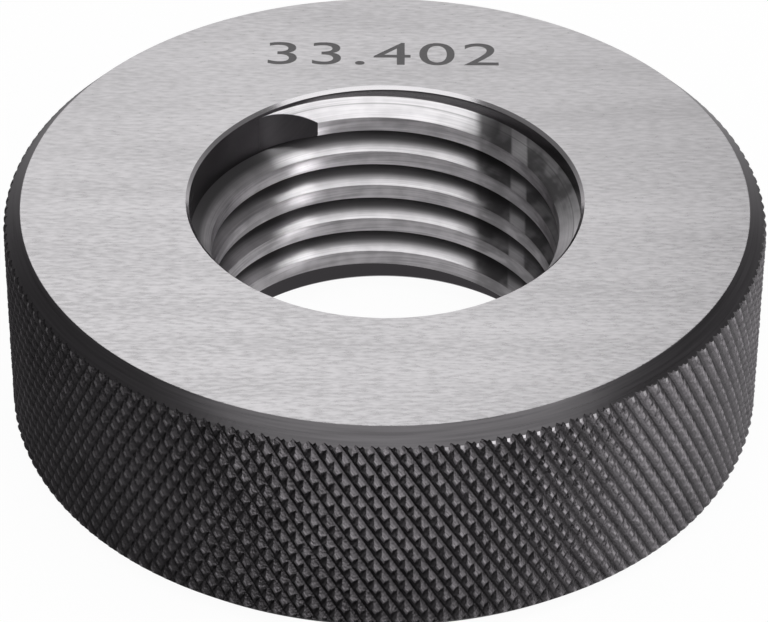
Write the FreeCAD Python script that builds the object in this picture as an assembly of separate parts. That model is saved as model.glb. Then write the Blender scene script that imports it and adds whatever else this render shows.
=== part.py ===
import FreeCAD, Part
import math
import os

# Thread ring gauge: one hardened steel ring with a right-hand internal thread.
# Millimetres. The base lies on Z = 0 and +Z is the axis of the ring and of its thread.

# Rim and faces
ring_d = 71.0           # across the rim, where the hand turns the gauge
ring_h = 23.0           # from the base to the top face
rim_chamfer = 1.6       # 45 degree edge between each face and the rim

# Bore
root_bore_d = 36.5      # relief at the bottom of the thread grooves, open at both mouths
mouth_chamfer = 0.3     # 45 degree edge between each face and the bore
crest_bore_d = 32.6     # across the flat crests, the cylinder that a screw meets first

# Thread
nominal_d = 36.0        # the screw size that the ring checks
pitch = 4.0
flank_angle = 60.0      # between the two flanks of a groove
start_angle = 113.6     # where the upper blunt end cuts the crest, round from +X
start_depth = 2.73      # from a face to the middle of the crest at a blunt end
cutter_d = 12.0         # the milling cutter that takes the thin first turn away

# How far shapes that are joined or cut run past each other
overlap = 0.25


def ring_blank():
    """The turned ring: one section turned round the axis, plain bore as wide as the relief."""
    rim_r = ring_d / 2
    bore_r = root_bore_d / 2
    section = [
        (bore_r + mouth_chamfer, 0.0),
        (rim_r - rim_chamfer, 0.0),
        (rim_r, rim_chamfer),
        (rim_r, ring_h - rim_chamfer),
        (rim_r - rim_chamfer, ring_h),
        (bore_r + mouth_chamfer, ring_h),
        (bore_r, ring_h - mouth_chamfer),
        (bore_r, mouth_chamfer),
    ]
    points = [FreeCAD.Vector(r, 0, z) for r, z in section]
    face = Part.Face(Part.makePolygon(points + points[:1]))
    return face.revolve(FreeCAD.Vector(0, 0, 0), FreeCAD.Vector(0, 0, 1), 360)


def thread_ridge(low_angle, low_z, turns):
    """The raised thread: its section swept up a right-hand helix from low_angle and low_z."""
    flank = math.tan(math.radians(flank_angle / 2))
    # The grooves and the ridge are equally wide at the pitch diameter of the metric profile.
    pitch_r = nominal_d / 2 - 0.375 * pitch * math.cos(math.radians(flank_angle / 2))
    root_r = root_bore_d / 2
    # Neighbouring flanks would meet at apex_r, so the ridge is rooted half-way there.
    apex_r = pitch_r + pitch / 4 / flank
    outer_r = (root_r + apex_r) / 2
    inner_r = crest_bore_d / 2 - overlap
    half_outer = pitch / 4 + (outer_r - pitch_r) * flank
    half_inner = pitch / 4 - (pitch_r - inner_r) * flank
    section = [
        (inner_r, -half_inner),
        (outer_r, -half_outer),
        (outer_r, half_outer),
        (inner_r, half_inner),
    ]
    points = [FreeCAD.Vector(r, 0, z) for r, z in section]
    profile = Part.makePolygon(points + points[:1])
    helix = Part.makeHelix(pitch, turns * pitch, root_r)
    ridge = Part.Wire(helix.Edges).makePipeShell([profile], True, True)
    ridge.translate(FreeCAD.Vector(0, 0, low_z))
    ridge.rotate(FreeCAD.Vector(0, 0, 0), FreeCAD.Vector(0, 0, 1), low_angle)
    # The bore is ground through the crests, which leaves them flat.
    crest_bore = Part.makeCylinder(crest_bore_d / 2, 3 * ring_h, FreeCAD.Vector(0, 0, -ring_h))
    return ridge.cut(crest_bore)


def cutter_swing():
    """Angle from the middle of the milling cutter to where its side leaves the crest."""
    root_r = root_bore_d / 2
    crest_r = crest_bore_d / 2
    cutter_r = cutter_d / 2
    centre_r = root_r - cutter_r
    reach = (crest_r ** 2 + centre_r ** 2 - cutter_r ** 2) / (2 * centre_r)
    return math.degrees(math.acos(reach / crest_r))


def blunt_cut(angle, z, height):
    """The milling cutter, standing along the bore and touching the relief at this angle."""
    centre_r = (root_bore_d - cutter_d) / 2
    a = math.radians(angle)
    centre = FreeCAD.Vector(centre_r * math.cos(a), centre_r * math.sin(a), z)
    return Part.makeCylinder(cutter_d / 2, height, centre)


def ring_gauge():
    """Ring and thread as the one solid they are, with both thin end turns milled away."""
    swing = cutter_swing()
    rise = pitch * swing / 360
    turns = (ring_h - 2 * start_depth) / pitch
    end_angle = start_angle - 360 * turns
    ridge = thread_ridge(end_angle - swing, start_depth - rise, turns + 2 * swing / 360)

    # Each cutter stops half-way between the end of the ridge and its next turn.
    upper_z = ring_h - start_depth + rise - pitch / 2
    lower_z = ring_h - upper_z
    ridge = ridge.cut(blunt_cut(start_angle + swing, upper_z, ring_h))
    ridge = ridge.cut(blunt_cut(end_angle - swing, lower_z - ring_h, ring_h))
    return ring_blank().fuse(ridge).removeSplitter()


os.makedirs("parts", exist_ok=True)
gauge = ring_gauge()
gauge.exportStep("parts/ring_gauge.step")
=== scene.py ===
import bmesh
import bpy
import math
from mathutils import Matrix, Vector


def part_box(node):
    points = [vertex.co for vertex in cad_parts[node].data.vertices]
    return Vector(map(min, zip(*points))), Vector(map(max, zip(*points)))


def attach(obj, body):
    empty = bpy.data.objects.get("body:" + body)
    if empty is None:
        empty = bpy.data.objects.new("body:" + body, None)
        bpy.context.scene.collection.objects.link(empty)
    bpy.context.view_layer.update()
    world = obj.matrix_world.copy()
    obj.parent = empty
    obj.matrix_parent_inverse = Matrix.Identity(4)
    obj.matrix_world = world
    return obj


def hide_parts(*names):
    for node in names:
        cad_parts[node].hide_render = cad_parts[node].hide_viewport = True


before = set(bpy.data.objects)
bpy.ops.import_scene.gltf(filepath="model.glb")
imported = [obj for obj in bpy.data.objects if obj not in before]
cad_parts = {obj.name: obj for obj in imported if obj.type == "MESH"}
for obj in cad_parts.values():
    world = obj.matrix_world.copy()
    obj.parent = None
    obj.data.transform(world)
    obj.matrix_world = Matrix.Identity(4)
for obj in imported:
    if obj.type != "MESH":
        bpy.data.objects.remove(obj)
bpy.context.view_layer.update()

# Camera: a long lens above the front of the ring, on its axis, leaning by less than half
# a degree, so that the top face, the far side of the thread and the near rim all show.
mm = 0.001
view_centre = Vector((-0.03, 0.0, 9.7)) * mm
view_pivot = Vector((0.0, 0.0, 12.0)) * mm
view_height = math.radians(36.94)
view_distance = 385.4 * mm
view_roll = math.radians(0.4)
camera_data = bpy.data.cameras.new("camera")
camera_data.sensor_width = 36.0
camera_data.lens = 190.9
camera_data.clip_start = 10 * mm
camera_data.clip_end = 10.0
camera = bpy.data.objects.new("camera", camera_data)
bpy.context.scene.collection.objects.link(camera)
back = Vector((0.0, -math.cos(view_height), math.sin(view_height)))
camera.location = view_pivot + back * view_distance
aim = (view_centre - camera.location).to_track_quat("-Z", "Y")
camera.rotation_mode = "QUATERNION"
camera.rotation_quaternion = aim @ Matrix.Rotation(view_roll, 3, "Z").to_quaternion()
bpy.context.scene.camera = camera
bpy.context.scene.view_settings.view_transform = "Standard"


# Surroundings: a white sweep under five soft lamps: one in front, one over the bore, a
# narrow one at the right, a small one at the left, and one at the back that the top face
# mirrors. Low down the room is lit unevenly, which gives the rim and the knurl their tones.
class Value:
    """A socket that shader sums are written with, such as 1 - mask * 0.4."""

    def __init__(self, finish, socket):
        self.finish = finish
        self.socket = socket

    def sum(self, operation, first, second=0.0):
        return self.finish.node("ShaderNodeMath", {"operation": operation}, {0: first, 1: second})

    def __add__(self, other):
        return self.sum("ADD", self, other)

    def __radd__(self, other):
        return self.sum("ADD", other, self)

    def __sub__(self, other):
        return self.sum("SUBTRACT", self, other)

    def __rsub__(self, other):
        return self.sum("SUBTRACT", other, self)

    def __mul__(self, other):
        return self.sum("MULTIPLY", self, other)

    def __rmul__(self, other):
        return self.sum("MULTIPLY", other, self)

    def __abs__(self):
        return self.sum("ABSOLUTE", self)


class Finish:
    """A material or the world: its tree of shader nodes, and the one way to add a node."""

    def __init__(self, owner):
        self.owner = owner
        owner.use_nodes = True
        self.tree = owner.node_tree
        self.tree.nodes.clear()

    def node(self, kind, settings, sockets, output=0):
        """Adds a node with these settings, then these socket values or links; gives an output."""
        made = self.tree.nodes.new(kind)
        for name, setting in settings.items():
            if name == "stops":
                first, last = made.color_ramp.elements
                first.position, first.color = setting[0]
                last.position, last.color = setting[-1]
                for position, colour in setting[1:-1]:
                    made.color_ramp.elements.new(position).color = colour
            else:
                setattr(made, name, setting)
        for key, value in sockets.items():
            if isinstance(value, Value):
                self.tree.links.new(value.socket, made.inputs[key])
            else:
                made.inputs[key].default_value = value
        return Value(self, made.outputs[output])

    def end(self, shader, kind="ShaderNodeOutputMaterial"):
        """Ends the tree with this shader on its surface, and gives the material or world."""
        output = self.tree.nodes.new(kind)
        self.tree.links.new(shader.socket, output.inputs["Surface"])
        return self.owner


def area_lamp(name, place, target, size, brightness):
    """A soft rectangular lamp at a place, turned to its target, its face as bright as told."""
    data = bpy.data.lights.new(name, "AREA")
    data.shape = "RECTANGLE"
    data.size, data.size_y = size
    data.energy = brightness * math.pi * size[0] * size[1]
    lamp = bpy.data.objects.new(name, data)
    bpy.context.scene.collection.objects.link(lamp)
    lamp.location = place
    lamp.rotation_euler = (Vector(target) - Vector(place)).to_track_quat("-Z", "Y").to_euler()
    lamp.visible_camera = False


def grey(shade, green=0.98):
    """A grey of this brightness, a touch short of green as the whole photograph is."""
    return (shade, shade * green, shade, 1.0)


def ramp(finish, value, low, high, at_low=0.0, at_high=1.0):
    """Smooth change from at_low to at_high while a value goes from low to high."""
    smooth = {"interpolation_type": "SMOOTHSTEP"}
    sockets = {0: value, 1: low, 2: high, 3: at_low, 4: at_high}
    return finish.node("ShaderNodeMapRange", smooth, sockets)


def blend(finish, mask, colour, other):
    """The first colour where the mask is 0 and the other one where it is 1."""
    sockets = {0: mask, 6: colour, 7: other}
    return finish.node("ShaderNodeMix", {"data_type": "RGBA"}, sockets, output=2)


def apart(finish, place, point):
    """How far a place lies from a point, in metres."""
    sockets = {0: place, 1: point}
    return finish.node("ShaderNodeVectorMath", {"operation": "DISTANCE"}, sockets, output=1)


def oval(finish, place, centre, turn, half_size):
    """1 inside an oval patch of the floor, fading to 0 at its edge; its turn is in degrees."""
    sockets = {"Vector": place, "Location": (*centre, 0.0), "Scale": (*half_size, 1.0)}
    sockets["Rotation"] = (0.0, 0.0, math.radians(turn))
    in_patch = finish.node("ShaderNodeMapping", {"vector_type": "TEXTURE"}, sockets)
    return ramp(finish, apart(finish, in_patch, (0.0, 0.0, 0.0)), 0.6, 1.0, 1.0, 0.0)


def round_light(finish, vector):
    """How bright the room is low down: round from the left by the front, right and back."""
    angle = finish.node("ShaderNodeTexGradient", {"gradient_type": "RADIAL"}, {0: vector}, output=1)
    left = [(-180, 0.12), (-160, 0.1), (-120, 0.05), (-100, 0.05)]
    front = [(-84, 0.06), (-75, 0.3), (-66, 1.2), (-57, 1.7), (-46, 1.4), (-36, 0.75)]
    right = [(-25, 0.65), (-12, 0.6), (0, 0.6), (14, 0.4), (24, 0.25), (45, 0.25)]
    behind = [(60, 0.65), (90, 0.75), (120, 0.6), (133, 0.25), (150, 0.12), (180, 0.12)]
    stops = [(degrees / 360 + 0.5, grey(shade)) for degrees, shade in left + front + right + behind]
    return finish.node("ShaderNodeValToRGB", {"stops": stops}, {0: angle})


world = bpy.data.worlds.new("white_room")
bpy.context.scene.world = world
room = Finish(world)
direction = room.node("ShaderNodeTexCoord", {}, {}, output=0)
parts = [room.node("ShaderNodeSeparateXYZ", {}, {0: direction}, output=axis) for axis in range(3)]
rightward, backward, upward = parts
# The walls are dim, apart from the middle and the right of the one in front.
bright_wall = grey(0.75)
dim_wall = grey(0.15)
walls = blend(room, ramp(room, backward, -0.8, -0.55), bright_wall, dim_wall)
walls = blend(room, ramp(room, rightward, -0.45, -0.05), dim_wall, walls)
walls = blend(room, ramp(room, upward, 0.25, 0.45), round_light(room, direction), walls)
room_light = room.node("ShaderNodeBackground", {}, {0: walls, 1: 1.0})
room_white = room.node("ShaderNodeBackground", {}, {0: (1.0, 1.0, 1.0, 1.0), 1: 1.0})
eye = room.node("ShaderNodeLightPath", {}, {}, output=0)
room_seen = room.node("ShaderNodeMixShader", {}, {0: eye, 1: room_light, 2: room_white})
room.end(room_seen, "ShaderNodeOutputWorld")

lamp_height = 700 * mm
for name, (x, y), size, brightness in (
    ("front_lamp", (0.12, -0.55), (1.3, 0.7), 0.9),
    ("top_lamp", (0.0, -0.05), (0.68, 0.3), 1.75),
    ("band_lamp", (0.43, 0.0), (0.07, 0.35), 7.0),
    ("patch_lamp", (-0.51, 0.2), (0.08, 0.12), 0.7),
):
    area_lamp(name, (x, y, lamp_height), (x, y, 0.0), size, brightness)
area_lamp("back_lamp", (-0.14, 0.83, 0.79), (0.0, 0.0, 0.02), (0.64, 0.55), 1.03)

bpy.ops.object.select_all(action="DESELECT")
bpy.ops.mesh.primitive_plane_add(size=6.0, location=(0.0, 0.0, 0.0))
floor = bpy.context.object
floor.name = "floor"
sweep = Finish(bpy.data.materials.new("white_sweep"))
eye, gloss, glass = [sweep.node("ShaderNodeLightPath", {}, {}, output=ray) for ray in (0, 3, 6)]
place = sweep.node("ShaderNodeTexCoord", {}, {}, output=3)
rightward = sweep.node("ShaderNodeSeparateXYZ", {}, {0: place}, output=0)
# Metal sees painted light in the floor: a painted shadow round the foot of the ring, the room's
# light further out, a pale painted strip in front at the left and a painted glow at the bottom of the
# bore.
painted_foot_shadow = blend(sweep, ramp(sweep, rightward, -2 * mm, 14 * mm), grey(0.11), grey(0.26))
from_foot = apart(sweep, place, (-40 * mm, 0.0, 0.0))
painted_reflection = blend(sweep, ramp(sweep, from_foot, 60 * mm, 90 * mm), painted_foot_shadow, round_light(sweep, place))
painted_light_strip = oval(sweep, place, (-62 * mm, -90 * mm), 38.0, (70 * mm, 20 * mm))
painted_reflection = blend(sweep, painted_light_strip, painted_reflection, grey(0.6))
painted_glow_spot = oval(sweep, place, (10.3 * mm, 2.5 * mm), -33.6, (6 * mm, 2.2 * mm))
painted_bore_light = blend(sweep, painted_glow_spot, grey(0.34), grey(5.0))
from_axis = apart(sweep, place, (0.0, 0.0, 0.0))
painted_reflection = blend(sweep, ramp(sweep, from_axis, 20 * mm, 28 * mm), painted_bore_light, painted_reflection)
shown = blend(sweep, eye, painted_reflection, (1.06, 1.06, 1.06, 1.0))
# The camera sees this share of the floor as white glow. The rest is lit and takes the shadow.
glow_share = 0.9
seen = glow_share * eye + gloss + glass
lit = sweep.node("ShaderNodeBsdfDiffuse", {}, {0: (0.6, 0.6, 0.6, 1.0)})
glow = sweep.node("ShaderNodeEmission", {}, {0: shown, 1: 1.0})
floor.data.materials.append(sweep.end(sweep.node("ShaderNodeMixShader", {}, {0: seen, 1: lit, 2: glow})))


# Blank: a bar of tool steel, parted off, faced, bored to the relief of the thread and
# chamfered at the rim and at both mouths. Faces are ground bright, edges stay blackened,
# and the tips at both ends of the knurl are worn to a bright facet.
ring_low, ring_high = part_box("ring_gauge")
ring_h = ring_high.z - ring_low.z
rim_r = (ring_high.x - ring_low.x) / 2
relief_r = 18.25 * mm
rim_chamfer = 1.6 * mm
mouth_chamfer = 0.3 * mm
edge_break = 0.05 * mm
tip_facet = 0.31 * mm
facet_slope = math.radians(22.5)
knurls_round = 160
turned_steps = 2 * knurls_round
# The blank stands a little proud of the knurl's tips, so that only its chamfers cut them.
proud = 0.1 * mm
# Lengths that differ by less than this count as the same.
hair = 0.01 * mm


def start_mesh():
    """Enters edit mode on the active object with nothing selected."""
    bpy.ops.object.mode_set(mode="EDIT")
    bpy.ops.mesh.select_mode(type="VERT")
    bpy.ops.mesh.select_all(action="DESELECT")


def pick(kind, test):
    """Selects only the edges or faces of the edited mesh that pass the test."""
    bpy.ops.mesh.select_mode(type={"edges": "EDGE", "faces": "FACE"}[kind])
    bpy.ops.mesh.select_all(action="DESELECT")
    mesh = bmesh.from_edit_mesh(bpy.context.object.data)
    for element in getattr(mesh, kind):
        if test(element):
            element.select_set(True)
    mesh.select_flush_mode()
    bmesh.update_edit_mesh(bpy.context.object.data)


def radius(point):
    """Distance from the axis of the ring."""
    return math.hypot(point.x, point.y)


def is_circle(edge, r):
    """True for an edge of a level circle of this radius round the axis."""
    first, second = [v.co for v in edge.verts]
    level = abs(first.z - second.z) < hair
    return level and all(abs(radius(end) - r) < hair for end in (first, second))


def cut(target, tool, operation):
    """Joins, cuts or intersects the target with the tool, which is then thrown away."""
    bpy.ops.object.select_all(action="DESELECT")
    bpy.context.view_layer.objects.active = target
    target.select_set(True)
    boolean = target.modifiers.new("cut", "BOOLEAN")
    boolean.object = tool
    boolean.operation = operation
    boolean.solver = "EXACT"
    boolean.material_mode = "TRANSFER"
    bpy.ops.object.modifier_apply(modifier="cut")
    bpy.data.objects.remove(tool)


def place_in_mm(finish):
    """The point that is shaded, in millimetres from the middle of the base."""
    metres = finish.node("ShaderNodeTexCoord", {}, {}, output=3)
    return finish.node("ShaderNodeVectorMath", {"operation": "SCALE"}, {0: metres, 3: 1 / mm})


def along(finish, axis):
    """How far the shaded point lies along this axis from the middle of the base, in millimetres."""
    sockets = {0: place_in_mm(finish)}
    return finish.node("ShaderNodeSeparateXYZ", {}, sockets, output="XYZ".index(axis))


def radius_in_mm(finish):
    """How far the shaded point lies from the axis of the ring, in millimetres."""
    sockets = {0: place_in_mm(finish), 1: (1.0, 1.0, 0.0)}
    flat = finish.node("ShaderNodeVectorMath", {"operation": "MULTIPLY"}, sockets)
    return finish.node("ShaderNodeVectorMath", {"operation": "LENGTH"}, {0: flat}, output=1)


def depth_in_mm(finish):
    """How far the shaded point lies under the nearer face of the ring, in millimetres."""
    half_h = ring_h / 2 / mm
    return half_h - abs(along(finish, "Z") - half_h)


def streaks(finish, per_mm, detail):
    """Noise in streaks: how many of them there are to a millimetre along X, Y and Z."""
    sockets = {0: place_in_mm(finish), 1: per_mm}
    stretched = finish.node("ShaderNodeVectorMath", {"operation": "MULTIPLY"}, sockets)
    sockets = {"Vector": stretched, "Scale": 1.0, "Detail": detail}
    return finish.node("ShaderNodeTexNoise", {}, sockets)


def turned_lines(finish, per_mm):
    """Fine lines that run round the axis, as a turning tool or a grinding wheel leaves them."""
    step = (radius_in_mm(finish) + along(finish, "Z") * 0.3) * per_mm
    sockets = {0: place_in_mm(finish), 3: 0.12}
    slow = finish.node("ShaderNodeVectorMath", {"operation": "SCALE"}, sockets)
    sockets = {"Vector": slow, "W": step, "Scale": 1.0, "Detail": 2.0}
    return finish.node("ShaderNodeTexNoise", {"noise_dimensions": "4D"}, sockets)


def bare_metal(finish, colour, roughness, height, depth, lined=0.0):
    """Metal of this colour, with a relief whose height goes from 0 to a depth in metres."""
    relief = finish.node("ShaderNodeBump", {}, {"Strength": 1.0, "Distance": depth, "Height": height})
    sockets = {"Base Color": colour, "Metallic": 1.0, "Roughness": roughness, "Normal": relief}
    sockets.update({"Anisotropic": lined, "Anisotropic Rotation": 0.25})
    return finish.end(finish.node("ShaderNodeBsdfPrincipled", {}, sockets))


# The strokes of the grinding wheel run from side to side, and show most at the front.
steel = Finish(bpy.data.materials.new("ground_face"))
strokes = streaks(steel, (0.8, 3.0, 3.0), 2.0)
broad = streaks(steel, (0.04, 0.25, 0.25), 1.0)
strokes = (strokes - 0.5) * ramp(steel, along(steel, "Y"), -30.0, 20.0, 1.1, 0.6) + 0.5
colour = blend(steel, ramp(steel, strokes * 0.8 + broad * 0.2, 0.3, 0.7), grey(0.47), grey(0.74))
ground_face = bare_metal(steel, colour, 0.2 + 0.2 * strokes, strokes, 0.006 * mm)

steel = Finish(bpy.data.materials.new("ground_mouth"))
lines = turned_lines(steel, 8.0)
colour = blend(steel, lines, grey(0.7), grey(0.85))
ground_mouth = bare_metal(steel, colour, 0.14, lines, 0.001 * mm)

# The relief is black. Painted light makes its upper wall lighter across the middle, at the back and the
# front.
oxide = Finish(bpy.data.materials.new("relief_wall"))
lines = turned_lines(oxide, 6.0)
painted_light_band = ramp(oxide, depth_in_mm(oxide), 0.35, 0.6) * ramp(oxide, along(oxide, "Z"), 14.0, 16.0)
painted_light_band = painted_light_band * ramp(oxide, along(oxide, "X"), -8.5, -6.0)
painted_light_band = painted_light_band * ramp(oxide, along(oxide, "X"), 8.0, 14.0, 1.0, 0.0)
colour = blend(oxide, painted_light_band, grey(0.12, 0.95), grey(0.36, 0.98))
relief_wall = bare_metal(oxide, colour, 0.2 + 0.1 * lines, lines, 0.001 * mm)

oxide = Finish(bpy.data.materials.new("black_edge"))
lines = turned_lines(oxide, 9.0)
colour = blend(oxide, ramp(oxide, lines, 0.2, 0.8), grey(0.11, 0.96), grey(0.16, 0.96))
black_edge = bare_metal(oxide, colour, 0.24 + 0.1 * lines, lines, 0.0015 * mm)

steel = Finish(bpy.data.materials.new("worn_tip"))
grain = streaks(steel, (4.0, 4.0, 4.0), 3.0)
colour = blend(steel, grain, grey(0.35), grey(0.8))
worn_tip = bare_metal(steel, colour, 0.2 + 0.2 * grain, grain, 0.01 * mm)


def blank_finish(face):
    """The finish of a face of the blank, by its slope and its distance from the axis."""
    slope = math.asin(min(1.0, abs(face.normal.z)))
    r = radius(face.center)
    if slope > math.radians(65.0):
        return ground_face
    if r > relief_r + mouth_chamfer:
        return worn_tip if abs(slope - facet_slope) < math.radians(5.0) else black_edge
    return ground_mouth if r > relief_r + hair else relief_wall


bpy.ops.object.select_all(action="DESELECT")
bpy.ops.mesh.primitive_cylinder_add(
    vertices=turned_steps,
    radius=rim_r + proud,
    depth=ring_h,
    end_fill_type="NGON",
    location=(0.0, 0.0, ring_low.z + ring_h / 2),
)
ring = bpy.context.object
ring.name = "gauge_ring"
bpy.ops.object.transform_apply(location=True, rotation=True, scale=True)
start_mesh()
pick("faces", lambda f: abs(f.normal.z) > 0.9)
bpy.ops.mesh.inset(thickness=(rim_r + proud - relief_r) * math.cos(math.pi / turned_steps))
bpy.ops.mesh.bridge_edge_loops()
pick("edges", lambda e: is_circle(e, rim_r + proud))
bpy.ops.mesh.bevel(offset=rim_chamfer + proud, segments=1, affect="EDGES")
pick("edges", lambda e: is_circle(e, rim_r + proud))
bpy.ops.mesh.bevel(offset=tip_facet, segments=1, affect="EDGES")
pick("edges", lambda e: is_circle(e, relief_r))
bpy.ops.mesh.bevel(offset=mouth_chamfer, segments=1, affect="EDGES")
pick("edges", lambda e: is_circle(e, rim_r - rim_chamfer))
bpy.ops.mesh.bevel(offset=edge_break, segments=2, affect="EDGES")
bpy.ops.object.mode_set(mode="OBJECT")
finishes = [ground_face, black_edge, ground_mouth, relief_wall, worn_tip]
for finish in finishes:
    ring.data.materials.append(finish)
for face in ring.data.polygons:
    face.material_index = finishes.index(blank_finish(face))


# Knurl: two wheels roll crossed V grooves into the rim, one set deeper than the other, and
# leave small roofs whose ridges lean to the right. The ring is blackened after it. Hands
# have worn the tips lighter, and the colour is made darkest deep in the grooves.
groove_climb = math.sqrt(3)
knurl_turn = 2 * math.pi / knurls_round
knurl_rise = 2 * math.pi * rim_r / knurls_round * groove_climb
deep_groove = 0.42 * mm
knurl_rows = 11
knurl_jitter = 0.03 * mm
# The depth of the other grooves, as a share of the deep ones, and half the flat along each
# ridge, as a share of the distance from ridge to ridge.
shallow_share = 0.8
ridge_flat = 0.06

oxide = Finish(bpy.data.materials.new("black_knurl"))
grain = streaks(oxide, (4.0, 4.0, 4.0), 5.0)
blotch = streaks(oxide, (0.3, 0.3, 0.3), 1.0)
below_tips = rim_r / mm - radius_in_mm(oxide)
worn = ramp(oxide, below_tips, -0.005, 0.075, 1.0, 0.0)
hollow = ramp(oxide, below_tips, 0.165, 0.285)
colour = blend(oxide, grain * 0.6 + blotch * 0.4, grey(0.07, 0.96), grey(0.28, 0.96))
colour = blend(oxide, hollow * 0.5, colour, grey(0.02, 0.96))
colour = blend(oxide, worn * (0.3 + 0.7 * blotch), colour, grey(0.5, 0.96))
black_knurl = bare_metal(oxide, colour, 0.16 + 0.14 * grain + 0.3 * worn, grain, 0.09 * mm)

# One knurl is a square between two grooves of each set: it is divided along its ridge, its
# hips and its flats, then laid on the rim, sunk by the depth of the grooves.
bpy.ops.object.select_all(action="DESELECT")
bpy.ops.mesh.primitive_plane_add(size=1.0, location=(0.5, 0.5, 0.0))
knurled_bar = bpy.context.object
knurled_bar.name = "knurled_bar"
bpy.ops.object.transform_apply(location=True, rotation=True, scale=True)
start_mesh()
bpy.ops.mesh.select_all(action="SELECT")
hip = (1 - shallow_share) / 2
for side in (-1, 1):
    bpy.ops.mesh.bisect(plane_co=(0.5 + side * ridge_flat, 0.0, 0.0), plane_no=(1.0, 0.0, 0.0))
    bpy.ops.mesh.select_all(action="SELECT")
for side, test in ((-1, lambda c: c.x < 0.5 - ridge_flat), (1, lambda c: c.x > 0.5 + ridge_flat)):
    for end in (-1, 1):
        pick("faces", lambda f: test(f.calc_center_median()))
        corner = (0.5 + side * (0.5 - hip), 0.5 + end * 0.5, 0.0)
        bpy.ops.mesh.bisect(plane_co=corner, plane_no=(1.0, float(-side * end), 0.0))
for end in (-1, 1):
    pick("faces", lambda f: abs(f.calc_center_median().x - 0.5) < ridge_flat)
    top = 0.5 + end * (0.5 - shallow_share / 2 + ridge_flat)
    bpy.ops.mesh.bisect(plane_co=(0.5, top, 0.0), plane_no=(0.0, 1.0, 0.0))
bpy.ops.object.mode_set(mode="OBJECT")
slope = 2 * deep_groove
shallow_groove = deep_groove * shallow_share
flat = slope * ridge_flat
for vertex in knurled_bar.data.vertices:
    u, v = vertex.co.xy
    deep = deep_groove - slope * min(u, 1 - u)
    shallow = shallow_groove - slope * min(v, 1 - v)
    r = rim_r - max(deep, shallow, flat) + flat
    angle = (u + v) / 2 * knurl_turn
    z = (u - v) / 2 * knurl_rise
    vertex.co = Vector((r * math.cos(angle), r * math.sin(angle), z))


def repeat(piece, name, count, turn, rise):
    """Repeats a piece round the axis, each copy turned and raised from the one before."""
    stepper = bpy.data.objects.new(name, None)
    bpy.context.scene.collection.objects.link(stepper)
    stepper.rotation_euler = (0.0, 0.0, turn)
    stepper.location = (0.0, 0.0, rise)
    bpy.context.view_layer.update()
    array = piece.modifiers.new(name, "ARRAY")
    array.count = count
    array.use_relative_offset = False
    array.use_object_offset = True
    array.offset_object = stepper
    bpy.ops.object.modifier_apply(modifier=name)
    bpy.data.objects.remove(stepper)


repeat(knurled_bar, "round", knurls_round, knurl_turn, 0.0)
repeat(knurled_bar, "rows", 2 * knurl_rows + 1, knurl_turn / 2, knurl_rise / 2)
start_mesh()
bpy.ops.mesh.select_all(action="SELECT")
bpy.ops.mesh.remove_doubles(threshold=0.002 * mm)
bpy.ops.transform.vertex_random(offset=knurl_jitter, uniform=1.0, normal=0.0, seed=4)
bpy.ops.mesh.fill_holes(sides=0)
bpy.ops.mesh.select_all(action="SELECT")
bpy.ops.mesh.normals_make_consistent(inside=False)
bpy.ops.object.mode_set(mode="OBJECT")
knurled_bar.data.transform(Matrix.Translation((0.0, 0.0, ring_h / 2 - knurl_rows * knurl_rise / 2)))
knurled_bar.data.materials.append(black_knurl)
cut(ring, knurled_bar, "INTERSECT")


# Thread: right-hand, ground to size, with flat crests and a relieved root. A milling
# cutter has taken the thin end turns away, which leaves a blunt start at each mouth. At
# the right, painted shade lies on it in patches, in place of dark reflections.
nominal_r = 18.0 * mm
crest_r = 16.3 * mm
pitch = 4.0 * mm
flank_lean = math.radians(30.0)
start_angle = math.radians(113.6)
start_depth = 2.73 * mm
cutter_r = 6.0 * mm
crest_break = 0.05 * mm
steps_per_turn = 256

# Ridge and groove are equally wide at the pitch radius of the metric profile. Neighbouring
# flanks would meet at apex_r, so the ridge is rooted half-way there.
flank = math.tan(flank_lean)
pitch_r = nominal_r - 0.375 * pitch * math.cos(flank_lean)
apex_r = pitch_r + pitch / 4 / flank
root_r = (relief_r + apex_r) / 2
half_crest = pitch / 4 - (pitch_r - crest_r) * flank
half_root = pitch / 4 + (root_r - pitch_r) * flank

# The cutter stands along the bore and touches the relief. Its side leaves the crest at the
# blunt start, and its middle is a swing further on.
cutter_out = relief_r - cutter_r
swing = math.acos((crest_r ** 2 + cutter_out ** 2 - cutter_r ** 2) / (2 * crest_r * cutter_out))
rise = pitch * swing / (2 * math.pi)
turns = (ring_h - 2 * start_depth) / pitch
end_angle = start_angle - 2 * math.pi * turns
swept_turns = turns + 2 * swing / (2 * math.pi)


def painted_shade_patches(finish):
    """Painted shade in patches on the ground thread, at the right of the bore."""
    patches = ramp(finish, streaks(finish, (0.35, 0.35, 0.9), 2.0), 0.35, 0.6, 0.55, 1.0)
    at_right = ramp(finish, along(finish, "X"), 8.4, 9.4)
    at_back = ramp(finish, along(finish, "Y"), -3.0, 4.0)
    return patches * at_right * at_back


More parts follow.
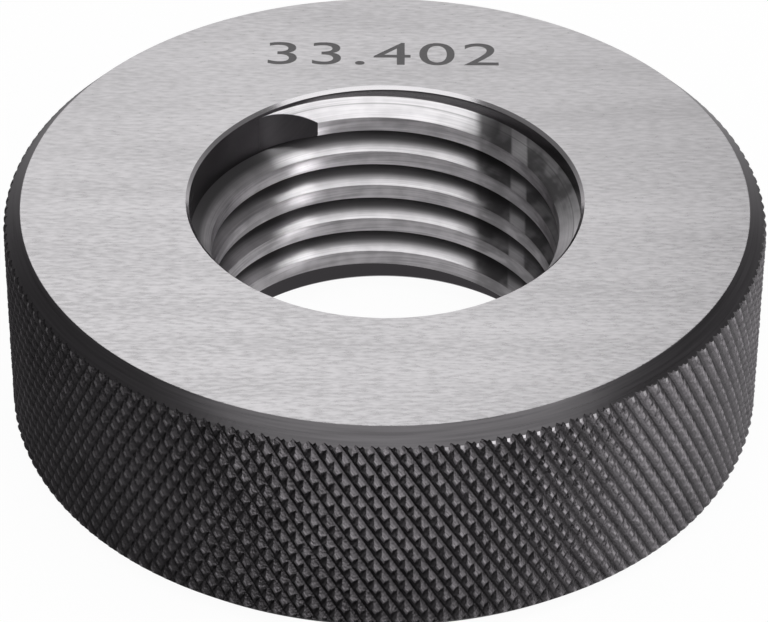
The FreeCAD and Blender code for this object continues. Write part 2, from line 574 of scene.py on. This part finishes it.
# A fine dark line is turned near the root of each flank. The flanks darken towards it,
# but not at the ends of the thread. At painted_window_x the painted shade is left out in a stripe, a
# painted reflection.
line_r = 17.6
painted_window_x = 12.8
steel = Finish(bpy.data.materials.new("ground_flank"))
lines = turned_lines(steel, 7.0)
blotch = streaks(steel, (0.5, 0.5, 0.5), 2.0)
colour = blend(steel, ramp(steel, lines * 0.6 + blotch * 0.4, 0.3, 0.7), grey(0.6), grey(0.84))
dark_line = ramp(steel, abs(radius_in_mm(steel) - line_r), 0.02, 0.09, 1.0, 0.0)
colour = blend(steel, dark_line * 0.5, colour, grey(0.2))
to_root = ramp(steel, radius_in_mm(steel), pitch_r / mm, line_r)
colour = blend(steel, to_root * ramp(steel, depth_in_mm(steel), 2.3, 4.0), colour, grey(0.2))
painted_patches_kept = ramp(steel, abs(along(steel, "X") - painted_window_x), 0.6, 0.85, 0.2, 0.92)
colour = blend(steel, painted_shade_patches(steel) * painted_patches_kept, colour, grey(0.12))
ground_flank = bare_metal(steel, colour, 0.28, lines, 0.0005 * mm, lined=1.0)

steel = Finish(bpy.data.materials.new("ground_crest"))
lines = turned_lines(steel, 12.0)
blotch = streaks(steel, (0.5, 0.5, 0.5), 2.0)
colour = blend(steel, ramp(steel, lines * 0.6 + blotch * 0.4, 0.35, 0.65), grey(0.62), grey(0.98))
# Painted shade in patches at the right, as on the flanks.
colour = blend(steel, painted_shade_patches(steel) * 0.7, colour, grey(0.2))
ground_crest = bare_metal(steel, colour, 0.24 + 0.12 * lines, lines, 0.002 * mm, lined=0.8)

oxide = Finish(bpy.data.materials.new("black_relief"))
lines = turned_lines(oxide, 5.0)
colour = blend(oxide, lines, grey(0.09, 0.95), grey(0.15, 0.95))
black_relief = bare_metal(oxide, colour, 0.42 + 0.1 * lines, lines, 0.001 * mm)

bpy.ops.object.select_all(action="DESELECT")
bpy.ops.mesh.primitive_circle_add(vertices=8, radius=1.0, fill_type="NOTHING")
ridge = bpy.context.object
ridge.name = "thread_ridge"
outline = [
    (root_r, half_root),
    (crest_r + crest_break, half_crest + crest_break * flank),
    (crest_r + crest_break / 4, half_crest - crest_break / 4),
    (crest_r, half_crest - crest_break),
]
outline += [(r, -z) for r, z in reversed(outline)]
for vertex, (r, z) in zip(ridge.data.vertices, outline):
    vertex.co = Vector((r, 0.0, z))
screw = ridge.modifiers.new("helix", "SCREW")
screw.axis = "Z"
screw.angle = 2 * math.pi * swept_turns
screw.screw_offset = pitch * swept_turns
screw.steps = screw.render_steps = round(steps_per_turn * swept_turns)
screw.use_merge_vertices = False
bpy.ops.object.modifier_apply(modifier="helix")
start_mesh()
bpy.ops.mesh.select_mode(type="EDGE")
bpy.ops.mesh.select_non_manifold(extend=False)
bpy.ops.mesh.edge_face_add()
bpy.ops.mesh.select_all(action="SELECT")
bpy.ops.mesh.normals_make_consistent(inside=False)
bpy.ops.object.mode_set(mode="OBJECT")
lift = Matrix.Translation((0.0, 0.0, ring_low.z + start_depth - rise))
ridge.data.transform(lift @ Matrix.Rotation(end_angle - swing, 4, "Z"))
ridge.data.materials.append(ground_flank)
ridge.data.materials.append(ground_crest)
for face in ridge.data.polygons:
    face.material_index = 1 if radius(face.center) < crest_r + hair else 0

# Each cutter stops half-way between the end of the ridge and its next turn.
for angle, low, high in (
    (start_angle + swing, ring_h - start_depth + rise - pitch / 2, ring_h * 1.5),
    (end_angle - swing, -ring_h * 0.5, start_depth - rise + pitch / 2),
):
    centre = cutter_out * Vector((math.cos(angle), math.sin(angle), 0.0))
    bpy.ops.object.select_all(action="DESELECT")
    bpy.ops.mesh.primitive_cylinder_add(
        vertices=steps_per_turn,
        radius=cutter_r,
        depth=high - low,
        location=(centre.x, centre.y, ring_low.z + (low + high) / 2),
    )
    cutter = bpy.context.object
    bpy.ops.object.transform_apply(location=True, rotation=True, scale=True)
    cutter.data.materials.append(black_relief)
    cut(ridge, cutter, "DIFFERENCE")
cut(ring, ridge, "UNION")


# Marking: plain numbers, the pitch diameter of the thread in millimetres, etched dark grey
# into the top face behind the bore.
mark_x = -0.4 * mm
mark_y = 23.8 * mm
mark_size = 5.6 * mm
mark_stretch = 1.4
etch_depth = 0.02 * mm

mark = Finish(bpy.data.materials.new("etched_mark"))
grain = streaks(mark, (6.0, 6.0, 6.0), 3.0)
relief = mark.node("ShaderNodeBump", {}, {"Distance": 0.003 * mm, "Height": grain})
sockets = {"Base Color": blend(mark, grain, grey(0.11), grey(0.19)), "Normal": relief}
sockets.update({"Metallic": 0.0, "Roughness": 0.6, "Specular IOR Level": 0.3})
etched_mark = mark.end(mark.node("ShaderNodeBsdfPrincipled", {}, sockets))

bpy.ops.object.select_all(action="DESELECT")
bpy.ops.object.text_add(location=(0.0, 0.0, 0.0))
numbers = bpy.context.object
numbers.name = "numbers"
numbers.data.body = "33.402"
numbers.data.align_x = "CENTER"
numbers.data.align_y = "CENTER"
numbers.data.size = mark_size
numbers.data.space_character = 1.1
bpy.ops.object.convert(target="MESH")
numbers = bpy.context.object
start_mesh()
bpy.ops.mesh.select_all(action="SELECT")
bpy.ops.mesh.remove_doubles(threshold=0.001 * mm)
bpy.ops.mesh.beautify_fill(angle_limit=math.pi)
bpy.ops.mesh.select_all(action="SELECT")
bpy.ops.mesh.extrude_region_move(TRANSFORM_OT_translate={"value": (0.0, 0.0, 2 * etch_depth)})
bpy.ops.mesh.select_all(action="SELECT")
bpy.ops.mesh.normals_make_consistent(inside=False)
bpy.ops.object.mode_set(mode="OBJECT")
lift = Matrix.Translation((mark_x, mark_y, ring_high.z - etch_depth))
numbers.data.transform(lift @ Matrix.Diagonal((mark_stretch, 1.0, 1.0, 1.0)))
numbers.data.materials.clear()
numbers.data.materials.append(etched_mark)
cut(ring, numbers, "DIFFERENCE")


# Finished ring: one piece of steel, so this one mesh stands for it. Round surfaces are
# shaded smooth, while the ground faces and the facets of the knurl stay flat.
smooth_below = math.radians(20.0)
bpy.ops.object.select_all(action="DESELECT")
bpy.context.view_layer.objects.active = ring
ring.select_set(True)
bpy.ops.object.shade_smooth_by_angle(angle=smooth_below)
for face in ring.data.polygons:
    finish = ring.data.materials[face.material_index]
    if abs(face.normal.z) > 0.999 or finish == black_knurl:
        face.use_smooth = False
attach(ring, "root")
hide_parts("ring_gauge")
